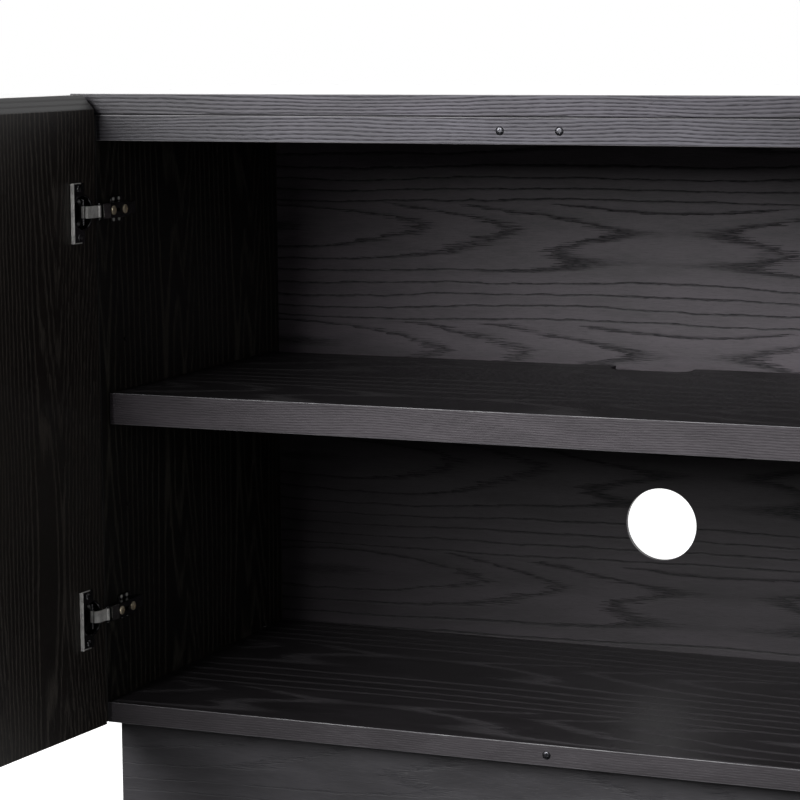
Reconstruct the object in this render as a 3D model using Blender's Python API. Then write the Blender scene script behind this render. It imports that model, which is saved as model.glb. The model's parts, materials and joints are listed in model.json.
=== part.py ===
"""Two-door media cabinet in black-stained oak.

Metres, +Z up, front towards -Y.  The origin is on the floor, under the middle of the carcass.
Both doors stand open.  Hinge geometry is laid out in plan for the left side: x runs from the left
side's inner face into the bay, y runs from the carcass front into the cabinet.
"""
import math

import bmesh
import bpy
from mathutils import Matrix, Vector

# ---- Carcass -------------------------------------------------------------------------------------
BAY_WIDTH = 0.920
BAY_HEIGHT = 0.574
BAY_DEPTH = 0.425
SIDE_T = 0.028
TOP_T = 0.0206
SUB_TOP_T = 0.0256
BOTTOM_T = 0.021
BACK_T = 0.006
BACK_SETBACK = 0.015          # rear edge of the carcass to the back panel
BACK_TONGUE = 0.007           # how far the back panel enters its grooves
ARRIS = 0.0007                # broken edge on every board
SHADOW_GROOVE_H = 0.0012      # line under the front of the top panel
SHADOW_GROOVE_D = 0.003

# ---- Plinth --------------------------------------------------------------------------------------
PLINTH_H = 0.1185
PLINTH_T = 0.018
PLINTH_INSET = SIDE_T         # flush with the inner faces of the sides, and as far behind the front
PLINTH_BACK_INSET = 0.010
CORNER_BLOCK = 0.045
CORNER_BLOCK_H = 0.070

# ---- Shelf and its pins --------------------------------------------------------------------------
SHELF_T = 0.032
UPPER_BAY = 0.256             # underside of the sub-top to the top of the shelf
SHELF_SETBACK = 0.015
SHELF_BACK_GAP = 0.024
SHELF_END_GAP = 0.0015
NOTCH_W = 0.090
NOTCH_D = 0.031
NOTCH_R = 0.016
PIN_R = 0.0024
PIN_BORE_R = 0.00275
PIN_BORE_DEPTH = 0.011
PIN_COLLAR_R = 0.0038
PIN_COLLAR_T = SHELF_END_GAP - 0.0006   # clear of the side and of the shelf's end
PIN_REACH = 0.009             # stub under the shelf
PIN_ROW_Y = 0.053             # pin rows in from the front and from the shelf's back edge
PIN_STEP = 0.086              # up and down to the spare holes

# ---- Cable hole in the back ----------------------------------------------------------------------
CABLE_HOLE_R = 0.040
CABLE_HOLE_UP = 0.1415        # above the bottom panel

# ---- Doors ---------------------------------------------------------------------------------------
DOOR_T = 0.020
DOOR_GAP = 0.002              # closed door to carcass front
SIDE_REVEAL = 0.001
TOP_REVEAL = 0.001
CENTRE_GAP = 0.003
GRIP_H = 0.014                # bevel along the top of the inner face, used as a finger pull
GRIP_D = 0.013
OPEN_ANGLE = math.radians(95)

# ---- Concealed hinges ----------------------------------------------------------------------------
HINGE_FROM_END = 0.1155       # hinge centre to the door's top and bottom
ARM_PIN = Vector((0.0080, -0.0105))
CUP_PIN_S = 0.0174            # cup pin in from the door's hinge edge
CUP_PIN_H = -0.0039           # cup pin below the door's inner face
LINK_SWING = math.radians(74)
CUP_S = 0.0255                # cup centre in from the door's hinge edge
CUP_R = 0.0175
CUP_WALL = 0.0012
CUP_DEPTH = 0.0129
CUP_FLOOR = 0.0007
RIM_R = 0.0187
RIM_T = 0.0009
CUP_SEGMENTS = 32
FLANGE_H = 0.060
FLANGE_S0 = 0.0222
FLANGE_S1 = 0.0460
FLANGE_T = 0.00075
FLANGE_LIFT = 0.00015         # flange sheet above the underside of the rim
LIP_T = 0.0014
LIP_H = 0.0045
SCREW_LINE = 0.006            # flange screws beyond the cup centre
FLANGE_SCREW_SPACING = 0.048
LINK_T = 0.0018
LINK_HALF_W = 0.0060
LINK_BENDS = ((0.0045, 0.0038), (0.0155, 0.0027), (0.0180, 0.0016), (0.0190, 0.0002))   # door (s, h)
RIVET_HEAD = 0.0007           # rivet ends beyond the arm's cheeks
KNUCKLE_R = 0.0022
RIVET_R = 0.00125
ARM_HALF_W = 0.0078
ARM_WALL = 0.0014
ARM_WEB_T = 0.0014
ARM_TOP = 0.0124              # arm's web above the side panel
ARM_FOOT = 0.0040
ARM_REAR = 0.044
ARM_NOSE_R = 0.0024
ARM_STEP = ((0.0110, -0.0030), (0.0113, 0.0006), 0.0050)   # web rises in two steps behind the nose
WEB_FRONT = -0.0055
PLATE_FRONT = 0.022
PLATE_REAR = 0.066
PLATE_HUB_TOP = 0.0082
EAR_Y = (0.024, 0.049)
EAR_HALF_Z = 0.0128
EAR_T = 0.0030
ARM_SCREW_Y = (0.012, 0.036)

# ---- Screws and magnets --------------------------------------------------------------------------
SCREW_STRIKE = {"head_r": 0.0039, "head_h": 0.0016, "shank_r": 0.0016, "length": 0.014}
SCREW_FLANGE = {"head_r": 0.0034, "head_h": 0.0013, "shank_r": 0.0015, "length": 0.0055}
SCREW_ARM = {"head_r": 0.0046, "head_h": 0.0018, "shank_r": 0.0020, "length": 0.0100}
SCREW_SEGMENTS = 10
SCREW_TIP = 1.6               # cone of the tip, in shank radii
HEAD_RIM = 0.35               # upright part of the head, share of its height
HEAD_CROWN = 0.78             # flat crown of the head, share of its radius
RECESS_ARM = 0.62             # cross recess, share of the head's radius
RECESS_W = 0.00045
RECESS_D = 0.0009
BORE_CLEAR = 0.00035          # shank to pilot hole, radially
BORE_OVERRUN = 0.002          # how far a bore runs out above the screw's seat
STRIKE_PROUD = 0.0006         # strike heads above the board's front edge
STRIKE_X = 0.0295             # top strikes left and right of the middle
BOTTOM_STRIKE_X = 0.017
MAGNET_R = 0.006
MAGNET_T = 0.004

FIT = 0.0003                  # gap between neighbouring pieces
OVERRUN = 0.010               # how far a cutter runs past the piece it cuts
CREASE = math.radians(35)     # edges sharper than this stay crisp
PIN_SEGMENTS = 12
HOLE_SEGMENTS = 72
MAGNET_SEGMENTS = 16
STRIKE_BORE_SEGMENTS = 20

# ---- Levels and half sizes that follow -----------------------------------------------------------
DEPTH = BAY_DEPTH + BACK_T + BACK_SETBACK
FRONT_Y = -DEPTH / 2
HALF_BAY = BAY_WIDTH / 2
HALF_W = HALF_BAY + SIDE_T
BAY_Z0 = PLINTH_H + BOTTOM_T
BAY_Z1 = BAY_Z0 + BAY_HEIGHT
TOP_Z0 = BAY_Z1 + SUB_TOP_T + FIT
TOP_Z1 = TOP_Z0 + TOP_T
SHELF_Z1 = BAY_Z1 - UPPER_BAY
SHELF_Z0 = SHELF_Z1 - SHELF_T
SHELF_Y1 = FRONT_Y + BAY_DEPTH - SHELF_BACK_GAP
BACK_Y0 = FRONT_Y + BAY_DEPTH
DOOR_Z0 = PLINTH_H
DOOR_Z1 = TOP_Z1 - TOP_REVEAL
DOOR_W = HALF_W - SIDE_REVEAL - CENTRE_GAP / 2
DOOR_EDGE_X = -(SIDE_T - SIDE_REVEAL)
HINGE_Z = {"upper": DOOR_Z1 - HINGE_FROM_END, "lower": DOOR_Z0 + HINGE_FROM_END}
SIDES = {"left": -1, "right": 1}
AXIS_TURN = {                 # turns a shape's own Z onto a world axis
    "Z": Matrix(),
    "X": Matrix.Rotation(math.pi / 2, 4, "Y"),
    "-X": Matrix.Rotation(-math.pi / 2, 4, "Y"),
    "Y": Matrix.Rotation(-math.pi / 2, 4, "X"),
    "-Y": Matrix.Rotation(math.pi / 2, 4, "X"),
}
STRIKE_Z = BAY_Z1 + SUB_TOP_T / 2
BOTTOM_STRIKE_Z = PLINTH_H + BOTTOM_T / 2


# ---- Materials -----------------------------------------------------------------------------------
def material(name, colour, roughness, metallic):
    """Return a plain Principled material."""
    mat = bpy.data.materials.new(name)
    mat.use_nodes = True
    shader = mat.node_tree.nodes["Principled BSDF"]
    shader.inputs["Base Color"].default_value = (*colour, 1.0)
    shader.inputs["Roughness"].default_value = roughness
    shader.inputs["Metallic"].default_value = metallic
    return mat


# ---- Mesh helpers --------------------------------------------------------------------------------
def add_object(name, bm, mat=None, parent=None, location=(0, 0, 0)):
    """Turn a bmesh into an object, faces outward, and place it."""
    bmesh.ops.recalc_face_normals(bm, faces=bm.faces[:])
    mesh = bpy.data.meshes.new(name)
    bm.to_mesh(mesh)
    bm.free()
    obj = bpy.data.objects.new(name, mesh)
    bpy.context.scene.collection.objects.link(obj)
    if mat:
        mesh.materials.append(mat)
    obj.parent = parent
    obj.location = location
    return obj


def smooth(obj):
    """Shade a round piece smooth and keep its edges crisp."""
    obj.data.shade_smooth()
    obj.data.set_sharp_from_angle(angle=CREASE)
    return obj


def empty(name, location, parent=None, turn=0.0):
    """An empty that carries a moving group on its joint axis."""
    obj = bpy.data.objects.new(name, None)
    bpy.context.scene.collection.objects.link(obj)
    obj.parent = parent
    obj.location = location
    obj.rotation_euler = (0, 0, turn)
    return obj


def box_mesh(lo, hi, arris=0.0):
    """A box between two corners, its edges broken by the arris."""
    lo, hi = Vector(lo), Vector(hi)
    bm = bmesh.new()
    bmesh.ops.create_cube(bm, size=1.0)
    size = hi - lo
    bmesh.ops.scale(bm, vec=size, verts=bm.verts)
    bmesh.ops.translate(bm, vec=(lo + hi) / 2, verts=bm.verts)
    if arris:
        bmesh.ops.bevel(bm, geom=bm.edges[:], offset=arris, segments=2, profile=0.5, affect="EDGES")
    return bm


def prism_mesh(outline, z0, z1):
    """An outline in plan, extruded upwards."""
    bm = bmesh.new()
    face = bm.faces.new([bm.verts.new((x, y, z0)) for x, y in outline])
    rise = bmesh.ops.extrude_face_region(bm, geom=[face])
    moved = [v for v in rise["geom"] if isinstance(v, bmesh.types.BMVert)]
    bmesh.ops.translate(bm, vec=(0, 0, z1 - z0), verts=moved)
    return bm


def turned_mesh(profile, segments, axis="Z", phase=0.0):
    """A profile of (radius, height) points turned about an axis, ends on radius 0.

    The phase turns the facets by that share of one segment.
    """
    bm = bmesh.new()
    rings = []
    for radius, height in profile:
        if radius == 0:
            rings.append([bm.verts.new((0, 0, height))])
            continue
        angles = (2 * math.pi * (i + phase) / segments for i in range(segments))
        rings.append([bm.verts.new((radius * math.cos(a), radius * math.sin(a), height)) for a in angles])
    for lower, upper in zip(rings, rings[1:]):
        for i in range(segments):
            quad = [lower[i % len(lower)], lower[(i + 1) % len(lower)],
                    upper[(i + 1) % len(upper)], upper[i % len(upper)]]
            bm.faces.new(list(dict.fromkeys(quad)))
    bmesh.ops.transform(bm, matrix=AXIS_TURN[axis], verts=bm.verts)
    return bm


def cylinder_profile(radius, z0, z1):
    """A closed plain cylinder as a turned profile."""
    return [(0, z0), (radius, z0), (radius, z1), (0, z1)]


def shift(bm, vec):
    """Move a whole bmesh."""
    bmesh.ops.translate(bm, vec=vec, verts=bm.verts)
    return bm


def boolean(obj, tool, operation):
    """Cut or join with a tool object, which is left out of the model."""
    tool.hide_render = True
    tool.display_type = "WIRE"
    mod = obj.modifiers.new(tool.name, "BOOLEAN")
    mod.operation = operation
    mod.solver = "EXACT"
    mod.object = tool


def cut(obj, tool):
    boolean(obj, tool, "DIFFERENCE")


def join(obj, tool):
    boolean(obj, tool, "UNION")


def rounded_arc(centre, radius, start, end, steps):
    """Points on an arc in plan, angles in degrees."""
    angles = [math.radians(start + (end - start) * i / steps) for i in range(steps + 1)]
    return [(centre[0] + radius * math.cos(a), centre[1] + radius * math.sin(a)) for a in angles]


# ---- Screws --------------------------------------------------------------------------------------
def screw(name, spec, mat, parent, location, axis):
    """A pan-head screw: its seat is at the location and its head points along the axis."""
    r, h = spec["head_r"], spec["head_h"]
    shank = spec["shank_r"]
    profile = [(0, -spec["length"]), (shank, -spec["length"] + shank * SCREW_TIP), (shank, 0.0), (r, 0.0),
               (r, h * HEAD_RIM), (r * HEAD_CROWN, h), (0, h)]
    obj = add_object(name, turned_mesh(profile, SCREW_SEGMENTS, axis), mat, parent, location)
    arm = r * RECESS_ARM
    w = RECESS_W
    cross = [(arm, -w), (arm, w), (w, w), (w, arm), (-w, arm), (-w, w),
             (-arm, w), (-arm, -w), (-w, -w), (-w, -arm), (w, -arm), (w, -w)]
    bm = prism_mesh(cross, h - RECESS_D, h + RECESS_D)
    bmesh.ops.transform(bm, matrix=AXIS_TURN[axis], verts=bm.verts)
    cut(obj, add_object(name + "_recess", bm, None, parent, location))
    return smooth(obj)


def screw_bore(target, name, spec, parent, location, axis):
    """The pilot hole of a screw, blind, a little longer than the shank."""
    deep = spec["length"] + 2 * BORE_CLEAR
    bm = turned_mesh(cylinder_profile(spec["shank_r"] + BORE_CLEAR, -deep, 2 * BORE_CLEAR + BORE_OVERRUN),
                     SCREW_SEGMENTS, axis)
    tool = add_object(name, bm, None, parent, location)
    for obj in target:
        cut(obj, tool)


# ---- Carcass boards ------------------------------------------------------------------------------
def board(name, lo, hi, mat):
    """A flat board with broken edges."""
    return add_object(name, box_mesh(lo, hi, ARRIS), mat)


def make_carcass(wood):
    """Top, sub-top, sides, bottom and back, with the grooves that hold the back."""
    y1 = FRONT_Y + DEPTH
    boards = {
        "top_panel": board("top_panel", (-HALF_W, FRONT_Y, TOP_Z0), (HALF_W, y1, TOP_Z1), wood),
        "sub_top": board("sub_top", (-HALF_BAY + FIT, FRONT_Y, BAY_Z1),
                         (HALF_BAY - FIT, y1, BAY_Z1 + SUB_TOP_T), wood),
        "left_side": board("left_side", (-HALF_W, FRONT_Y, PLINTH_H),
                           (-HALF_BAY, y1, BAY_Z1 + SUB_TOP_T), wood),
        "right_side": board("right_side", (HALF_BAY, FRONT_Y, PLINTH_H),
                            (HALF_W, y1, BAY_Z1 + SUB_TOP_T), wood),
        "bottom_panel": board("bottom_panel", (-HALF_BAY + FIT, FRONT_Y, PLINTH_H),
                              (HALF_BAY - FIT, y1, BAY_Z0), wood),
    }
    line = box_mesh((-HALF_W - OVERRUN, FRONT_Y - OVERRUN, TOP_Z0 - OVERRUN),
                    (HALF_W + OVERRUN, FRONT_Y + SHADOW_GROOVE_D, TOP_Z0 + SHADOW_GROOVE_H))
    cut(boards["top_panel"], add_object("shadow_groove", line))

    tongue = BACK_TONGUE - FIT
    back = add_object("back_panel", box_mesh((-HALF_BAY - tongue, BACK_Y0, BAY_Z0 - tongue),
                                             (HALF_BAY + tongue, BACK_Y0 + BACK_T, BAY_Z1 + tongue)), wood)
    hole = turned_mesh(cylinder_profile(CABLE_HOLE_R, -BACK_T, 2 * BACK_T), HOLE_SEGMENTS, "Y")
    cut(back, add_object("cable_hole", shift(hole, (0, BACK_Y0, BAY_Z0 + CABLE_HOLE_UP))))
    groove = box_mesh((-HALF_BAY - BACK_TONGUE, BACK_Y0 - FIT, BAY_Z0 - BACK_TONGUE),
                      (HALF_BAY + BACK_TONGUE, BACK_Y0 + BACK_T + FIT, BAY_Z1 + BACK_TONGUE))
    tool = add_object("back_groove", groove)
    for name in ("sub_top", "left_side", "right_side", "bottom_panel"):
        cut(boards[name], tool)
    return boards


def make_plinth(wood):
    """Four boards, a centre rail and glued corner blocks, all standing on the floor."""
    x1 = HALF_W - PLINTH_INSET
    y0 = FRONT_Y + PLINTH_INSET
    y1 = FRONT_Y + DEPTH - PLINTH_BACK_INSET
    top = PLINTH_H - FIT
    board("plinth_front", (-x1, y0, 0), (x1, y0 + PLINTH_T, top), wood)
    board("plinth_back", (-x1, y1 - PLINTH_T, 0), (x1, y1, top), wood)
    inner0, inner1 = y0 + PLINTH_T + FIT, y1 - PLINTH_T - FIT
    board("plinth_left", (-x1, inner0, 0), (-x1 + PLINTH_T, inner1, top), wood)
    board("plinth_right", (x1 - PLINTH_T, inner0, 0), (x1, inner1, top), wood)
    board("plinth_centre_rail", (-PLINTH_T / 2, inner0, 0), (PLINTH_T / 2, inner1, top), wood)
    for side, sx in SIDES.items():
        for end, y, sy in (("front", inner0, 1), ("back", inner1, -1)):
            x = sx * (x1 - PLINTH_T - FIT)
            corner = [(x, y), (x - sx * CORNER_BLOCK, y), (x, y + sy * CORNER_BLOCK)]
            block = prism_mesh(corner, top - CORNER_BLOCK_H, top)
            add_object("plinth_block_%s_%s" % (side, end), block, wood)


def make_shelf(wood):
    """The adjustable shelf, with a round-cornered cable notch in its back edge."""
    half = HALF_BAY - SHELF_END_GAP
    shelf = board("shelf", (-half, FRONT_Y + SHELF_SETBACK, SHELF_Z0), (half, SHELF_Y1, SHELF_Z1), wood)
    w, y = NOTCH_W / 2, SHELF_Y1 - NOTCH_D
    outline = (rounded_arc((w - NOTCH_R, y + NOTCH_R), NOTCH_R, 0, -90, 6)
               + rounded_arc((-w + NOTCH_R, y + NOTCH_R), NOTCH_R, -90, -180, 6)
               + [(-w, SHELF_Y1 + OVERRUN), (w, SHELF_Y1 + OVERRUN)])
    cut(shelf, add_object("shelf_notch", prism_mesh(outline, SHELF_Z0 - OVERRUN, SHELF_Z1 + OVERRUN)))


def make_shelf_pins(boards, metal):
    """Four pins under the shelf, and a spare hole above and below each one."""
    pin_z = SHELF_Z0 - FIT - PIN_R
    rows = {"front": FRONT_Y + PIN_ROW_Y, "back": SHELF_Y1 - PIN_ROW_Y}
    for side, sx in SIDES.items():
        axis = "X" if sx < 0 else "-X"
        for row, y in rows.items():
            for step in (-1, 0, 1):
                bore = turned_mesh(cylinder_profile(PIN_BORE_R, -PIN_BORE_DEPTH, PIN_COLLAR_R),
                                   PIN_SEGMENTS, axis)
                place = (sx * HALF_BAY, y, pin_z + step * PIN_STEP)
                cut(boards[side + "_side"], add_object("pin_bore_%s_%s_%d" % (side, row, step + 2),
                                                       bore, location=place))
            profile = [(0, -PIN_BORE_DEPTH + FIT * 2), (PIN_R, -PIN_BORE_DEPTH + FIT * 2), (PIN_R, FIT),
                       (PIN_COLLAR_R, FIT), (PIN_COLLAR_R, FIT + PIN_COLLAR_T), (PIN_R, FIT + PIN_COLLAR_T),
                       (PIN_R, PIN_REACH), (0, PIN_REACH)]
            smooth(add_object("shelf_pin_%s_%s" % (side, row), turned_mesh(profile, PIN_SEGMENTS, axis),
                              metal, location=(sx * HALF_BAY, y, pin_z)))


# ---- Doors and hinges ----------------------------------------------------------------------------
def rotate(point, angle):
    """Turn a plan vector."""
    return Matrix.Rotation(angle, 2) @ point


CUP_PIN_CLOSED = Vector((DOOR_EDGE_X + CUP_PIN_S, -DOOR_GAP + CUP_PIN_H))
CUP_PIN_OPEN = ARM_PIN + rotate(CUP_PIN_CLOSED - ARM_PIN, LINK_SWING)


def open_door_point(s, h):
    """Plan point of the open left door: s in from its hinge edge, h above its inner face."""
    return CUP_PIN_OPEN + rotate(Vector((s - CUP_PIN_S, h - CUP_PIN_H)), -OPEN_ANGLE)


def plan(side, point):
    """Plan point of the left layout to world x and y, mirrored for the right side."""
    return SIDES[side] * (HALF_BAY - point[0]), FRONT_Y + point[1]


def mirrored(side, points, origin):
    """Left layout points, taken from an origin, mirrored for the right side."""
    return [(-SIDES[side] * (p[0] - origin[0]), p[1] - origin[1]) for p in points]


def door_outline(points, side):
    """Door coordinates (s, h) to the door group's own x and y."""
    return mirrored(side, points, (CUP_PIN_S, CUP_PIN_H))


def make_door(side, group, wood):
    """A slab door with a bevelled grip along the top of its inner face."""
    bm = bmesh.new()
    section = [(0, DOOR_Z0), (0, DOOR_Z1 - GRIP_H), (-GRIP_D, DOOR_Z1), (-DOOR_T, DOOR_Z1),
               (-DOOR_T, DOOR_Z0)]
    (x0, _), (x1, _) = door_outline([(0, 0), (DOOR_W, 0)], side)
    face = bm.faces.new([bm.verts.new((x0, h - CUP_PIN_H, z)) for h, z in section])
    grown = bmesh.ops.extrude_face_region(bm, geom=[face])
    moved = [v for v in grown["geom"] if isinstance(v, bmesh.types.BMVert)]
    bmesh.ops.translate(bm, vec=(x1 - x0, 0, 0), verts=moved)
    bmesh.ops.recalc_face_normals(bm, faces=bm.faces[:])
    bmesh.ops.bevel(bm, geom=bm.edges[:], offset=ARRIS, segments=2, profile=0.5, affect="EDGES")
    return add_object(side + "_door", bm, wood, group)


def disc_tool(name, side, group, s, h0, h1, radius, z, segments):
    """A cylinder square to the door's inner face."""
    (x, y0), (_, y1) = door_outline([(s, h0), (s, h1)], side)
    bm = turned_mesh(cylinder_profile(radius, 0, y1 - y0), segments, "Y", phase=0.5)
    return add_object(name, shift(bm, (x, y0, z)), None, group)


def make_cup(side, level, group, door, metal):
    """The hinge cup let into the door, with its screwed flange and turned-up lip."""
    name = "%s_%s_hinge_cup" % (side, level)
    z = HINGE_Z[level]
    (x, y), = door_outline([(CUP_S, 0)], side)
    profile = [(0, -CUP_DEPTH), (CUP_R, -CUP_DEPTH), (CUP_R, FIT), (RIM_R, FIT), (RIM_R, FIT + RIM_T),
               (0, FIT + RIM_T)]
    cup = add_object(name, shift(turned_mesh(profile, CUP_SEGMENTS, "Y"), (x, y, z)), metal, group)
    h0, h1 = FIT + FLANGE_LIFT, FIT + FLANGE_T
    section = [(FLANGE_S0, h0), (FLANGE_S1, h0), (FLANGE_S1, FIT + LIP_H), (FLANGE_S1 - LIP_T, FIT + LIP_H),
               (FLANGE_S1 - LIP_T, h1), (FLANGE_S0, h1)]
    flange = prism_mesh(door_outline(section, side), z - FLANGE_H / 2, z + FLANGE_H / 2)
    join(cup, add_object(name + "_flange", flange, None, group))
    cut(cup, disc_tool(name + "_hollow", side, group, CUP_S, -CUP_DEPTH + CUP_FLOOR, CUP_DEPTH,
                       CUP_R - CUP_WALL, z, CUP_SEGMENTS))
    cut(door, disc_tool(name + "_bore", side, group, CUP_S, -CUP_DEPTH - FIT, FIT * 2,
                        CUP_R + 2 * FIT, z, CUP_SEGMENTS))
    return smooth(cup)


def make_flange_screws(side, level, group, door, cup, metal):
    """Two screws through the flange into the door."""
    for end, sz in (("upper", 1), ("lower", -1)):
        (x, y), = door_outline([(CUP_S + SCREW_LINE, 2 * FIT + FLANGE_T)], side)
        place = (x, y, HINGE_Z[level] + sz * FLANGE_SCREW_SPACING / 2)
        name = "%s_%s_flange_screw_%s" % (side, level, end)
        screw_bore((door, cup), name + "_bore", SCREW_FLANGE, group, place, "Y")
        screw(name, SCREW_FLANGE, metal, group, place, "Y")


def thick_line(points, width):
    """A polyline in plan given a width, mitred at its corners."""
    left, right = [], []
    for i, p in enumerate(points):
        before = (p - points[i - 1]).normalized() if i else None
        after = (points[i + 1] - p).normalized() if i < len(points) - 1 else None
        along = ((before or after) + (after or before)).normalized()
        normal = Vector((-along.y, along.x))
        spread = width / 2 / max(0.5, abs(normal.dot(Vector((-(after or before).y, (after or before).x)))))
        left.append(p + normal * spread)
        right.append(p - normal * spread)
    return left + right[::-1]


def make_link(side, level, group, metal):
    """The cranked link between the arm's rivet and the cup's pin."""
    name = "%s_%s_hinge_link" % (side, level)
    z = HINGE_Z[level]
    route = [ARM_PIN] + [open_door_point(s, h) for s, h in LINK_BENDS] + [CUP_PIN_OPEN]
    outline = mirrored(side, thick_line(route, LINK_T), ARM_PIN)
    link = add_object(name, prism_mesh(outline, z - LINK_HALF_W, z + LINK_HALF_W), metal, group)
    cup_half = math.sqrt((CUP_R - CUP_WALL) ** 2 - (CUP_S - CUP_PIN_S + RIVET_R) ** 2) - 2 * FIT
    ends = (("knuckle", ARM_PIN, KNUCKLE_R, LINK_HALF_W + FIT / 2), ("cup_knuckle", CUP_PIN_OPEN, KNUCKLE_R,
            LINK_HALF_W + FIT / 2), ("rivet", ARM_PIN, RIVET_R, ARM_HALF_W + RIVET_HEAD),
            ("cup_pin", CUP_PIN_OPEN, RIVET_R, cup_half))
    for tag, point, radius, half in ends:
        (x, y), = mirrored(side, [point], ARM_PIN)
        bm = turned_mesh(cylinder_profile(radius, z - half, z + half), PIN_SEGMENTS)
        join(link, add_object(name + "_" + tag, shift(bm, (x, y, 0)), None, group))
    return smooth(link)


def arm_outline():
    """The arm seen in plan, from its nose to its rear end."""
    nose = rounded_arc(ARM_PIN, ARM_NOSE_R, 180, 360, 6)
    (step_x, step_y), (ramp_x, ramp_y), rise_y = ARM_STEP
    return nose + [(step_x, step_y), (ramp_x, ramp_y), (ARM_TOP, rise_y), (ARM_TOP, ARM_REAR),
                   (ARM_FOOT, ARM_REAR), (ARM_FOOT, -step_y), (ARM_PIN.x - ARM_NOSE_R, step_y)]


def make_arm(side, level, metal):
    """The channel-shaped hinge arm, open towards the side panel and at its nose."""
    name = "%s_%s_hinge_arm" % (side, level)
    z = HINGE_Z[level]
    corner = plan(side, (0, 0))
    bm = prism_mesh(mirrored(side, arm_outline(), (0, 0)), z - ARM_HALF_W, z + ARM_HALF_W)
    arm = add_object(name, bm, metal, location=(*corner, 0))
    inner = ARM_TOP - ARM_WEB_T
    (step_x, _), (ramp_x, ramp_y), rise_y = ARM_STEP
    past, far = ARM_REAR + OVERRUN, ARM_TOP + OVERRUN
    hollow = [(-FIT, -far), (far, -far), (far, WEB_FRONT), (step_x - 1.2 * ARM_WEB_T, WEB_FRONT),
              (ramp_x - 1.07 * ARM_WEB_T, ramp_y + 2 * FIT), (inner, rise_y + 2 * FIT), (inner, past),
              (-FIT, past)]
    width = ARM_HALF_W - ARM_WALL
    tool = prism_mesh(mirrored(side, hollow, (0, 0)), z - width, z + width)
    cut(arm, add_object(name + "_hollow", tool, location=(*corner, 0)))
    eye = turned_mesh(cylinder_profile(RIVET_R + 1.5 * FIT, z - OVERRUN, z + OVERRUN), PIN_SEGMENTS)
    cut(arm, add_object(name + "_eye", eye, location=(*plan(side, ARM_PIN), 0)))
    return arm


def make_plate(side, level, metal):
    """The mounting plate that the arm sits on: a hub, and a low ear above and below it."""
    name = "%s_%s_mounting_plate" % (side, level)
    z = HINGE_Z[level]
    half = ARM_HALF_W - ARM_WALL - FIT
    corner = plan(side, (0, 0))
    hub = [(FIT, PLATE_FRONT), (PLATE_HUB_TOP, PLATE_FRONT), (PLATE_HUB_TOP, PLATE_REAR), (FIT, PLATE_REAR)]
    plate = add_object(name, prism_mesh(mirrored(side, hub, (0, 0)), z - half, z + half), metal,
                       location=(*corner, 0))
    ear = [(FIT, EAR_Y[0]), (EAR_T, EAR_Y[0]), (EAR_T, EAR_Y[1]), (FIT, EAR_Y[1])]
    tool = prism_mesh(mirrored(side, ear, (0, 0)), z - EAR_HALF_Z, z + EAR_HALF_Z)
    join(plate, add_object(name + "_ears", tool, location=(*corner, 0)))
    return plate


def make_arm_screws(side, level, arm, plate, metal):
    """The adjusting screw and the fixing screw on the arm."""
    axis = "X" if side == "left" else "-X"
    for tag, y in zip(("front", "rear"), ARM_SCREW_Y):
        name = "%s_%s_arm_screw_%s" % (side, level, tag)
        place = (*plan(side, (ARM_TOP + FIT, y)), HINGE_Z[level])
        screw_bore((arm, plate), name + "_bore", SCREW_ARM, None, place, axis)
        screw(name, SCREW_ARM, metal, None, place, axis)


def make_magnet(name, side, group, door, x, z, metal):
    """A round magnet let into the door, facing its strike screw."""
    s = HALF_W - SIDE_REVEAL - abs(x)
    (mx, my), = door_outline([(s, 0)], side)
    profile = [(0, -MAGNET_T), (MAGNET_R, -MAGNET_T), (MAGNET_R, -FIT), (MAGNET_R - FIT, 0), (0, 0)]
    smooth(add_object(name, shift(turned_mesh(profile, MAGNET_SEGMENTS, "Y"), (mx, my, z)), metal, group))
    cut(door, disc_tool(name + "_bore", side, group, s, -MAGNET_T - FIT, FIT * 2, MAGNET_R + FIT, z,
                        MAGNET_SEGMENTS))


def make_strikes(boards, metal):
    """Screws in the carcass front that the door magnets hold on to."""
    places = (("strike_screw_top_left", "sub_top", -STRIKE_X, STRIKE_Z),
              ("strike_screw_top_right", "sub_top", STRIKE_X, STRIKE_Z),
              ("strike_screw_bottom", "bottom_panel", BOTTOM_STRIKE_X, BOTTOM_STRIKE_Z))
    recess = SCREW_STRIKE["head_h"] - STRIKE_PROUD
    for name, target, x, z in places:
        seat = (x, FRONT_Y + recess, z)
        bore_r, deep = SCREW_STRIKE["shank_r"] + BORE_CLEAR, SCREW_STRIKE["length"] + FIT
        stepped = [(0, -deep), (bore_r, -deep), (bore_r, -FIT), (SCREW_STRIKE["head_r"] + FIT, -FIT),
                   (SCREW_STRIKE["head_r"] + FIT, OVERRUN), (0, OVERRUN)]
        tool = add_object(name + "_bore", turned_mesh(stepped, STRIKE_BORE_SEGMENTS, "-Y"), location=seat)
        cut(boards[target], tool)
        screw(name, SCREW_STRIKE, metal, None, seat, "-Y")


def make_door_side(side, wood, steel, brass, magnet):
    """One door, its two hinges and its magnets."""
    sx = SIDES[side]
    links = empty(side + "_link_pivot", (*plan(side, ARM_PIN), 0))
    offset = mirrored(side, [CUP_PIN_OPEN], ARM_PIN)[0]
    group = empty(side + "_door_pivot", (*offset, 0), links, sx * OPEN_ANGLE)
    door = make_door(side, group, wood)
    for level in HINGE_Z:
        cup = make_cup(side, level, group, door, steel)
        make_flange_screws(side, level, group, door, cup, steel)
        make_link(side, level, links, steel)
        arm = make_arm(side, level, steel)
        plate = make_plate(side, level, steel)
        make_arm_screws(side, level, arm, plate, brass)
    make_magnet(side + "_door_magnet_top", side, group, door, STRIKE_X, STRIKE_Z, magnet)
    if side == "right":
        make_magnet("right_door_magnet_bottom", side, group, door, BOTTOM_STRIKE_X, BOTTOM_STRIKE_Z, magnet)


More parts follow.
